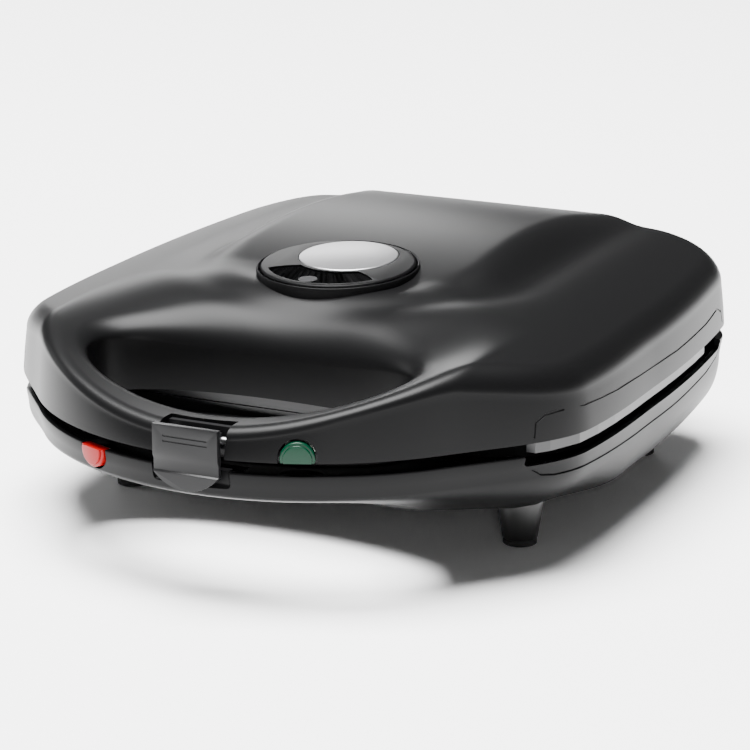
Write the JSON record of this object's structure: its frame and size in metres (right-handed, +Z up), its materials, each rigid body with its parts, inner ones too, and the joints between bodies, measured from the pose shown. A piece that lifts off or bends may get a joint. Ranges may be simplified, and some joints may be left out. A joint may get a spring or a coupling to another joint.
{
  "type": "donut maker",
  "caption": "Low black clam-shell donut maker with domed lid, front finger opening, ring moulds, tilted dial, clip latch, lamps and short round feet.",
  "frame": {"origin": "middle of the whole object's footprint at the underside of its feet", "axes": "+X to the object's right seen from its front, -Y towards the grip and latch, +Z up"},
  "size_m": [0.2174, 0.2662, 0.0898],
  "materials": {
    "body_black": "satin gloss black",
    "inner_black": "matt black",
    "foot_black": "matt black",
    "pad_rubber": "matt",
    "nonstick": "dark non-stick coating on cast aluminium",
    "heater_sheath": "dull sheath",
    "spring_steel": "plain",
    "shield_steel": "bright sheet",
    "ceramic_white": "unglazed",
    "red_lens": "clear red plastic",
    "lamp_red": "neon lamp",
    "green_lens": "clear green plastic",
    "lamp_green": "neon lamp",
    "screw_steel": "plated",
    "dial_gloss": "gloss black",
    "dial_silver": "satin silver",
    "window_grey": "satin dark grey",
    "latch_black": "satin grey-black"
  },
  "bodies": {
    "base": {"base_housing": "body_black", "base_grip_cover": "inner_black", "feet": "foot_black", "foot_pads": "pad_rubber", "base_frame": "inner_black", "lower_plate": "nonstick", "lower_heater": "heater_sheath", "heater_clips_low": "spring_steel", "lower_shield": "shield_steel", "plate_posts_low": "spring_steel", "thermal_cutout": "ceramic_white", "terminal_block": "ceramic_white", "inlet_bush": "pad_rubber", "red_lamp_lens": "red_lens", "red_lamp": "lamp_red", "latch_catch": "inner_black", "base_screws": "screw_steel", "hinge_ears": "inner_black", "hinge_pins": "screw_steel"},
    "lid": {"lid_cover": "body_black", "lid_grip_cover": "inner_black", "lid_frame": "inner_black", "upper_plate": "nonstick", "upper_heater": "heater_sheath", "heater_clips_up": "spring_steel", "upper_shield": "shield_steel", "plate_posts_up": "spring_steel", "lid_screws": "screw_steel", "hinge_arms": "inner_black", "hinge_screws": "screw_steel", "thermostat": "ceramic_white", "thermostat_bracket": "shield_steel", "dial_seat": "dial_gloss", "green_lamp_lens": "green_lens", "green_lamp": "lamp_green", "latch_pin": "screw_steel", "latch_mount": "inner_black"},
    "dial": {"dial": "dial_gloss", "dial_insert": "dial_silver", "dial_window": "window_grey", "dial_shaft": "screw_steel"},
    "latch": {"latch": "latch_black"}
  },
  "joints": [
    {"name": "lid_hinge", "type": "hinge", "parent": "base", "child": "lid", "pos_m": [0, 0.1286, 0.047], "axis": [-1, 0, 0], "range_deg": [0, 95]},
    {"name": "latch_swing", "type": "hinge", "parent": "lid", "child": "latch", "pos_m": [0, -0.1247, 0.0535], "axis": [-1, 0, 0], "range_deg": [0, 30]},
    {"name": "dial_turn", "type": "hinge", "parent": "lid", "child": "dial", "pos_m": [0, -0.0179, 0.08279], "axis": [0, -0.061, 0.9981], "range_deg": [0, 150]}
  ]
}
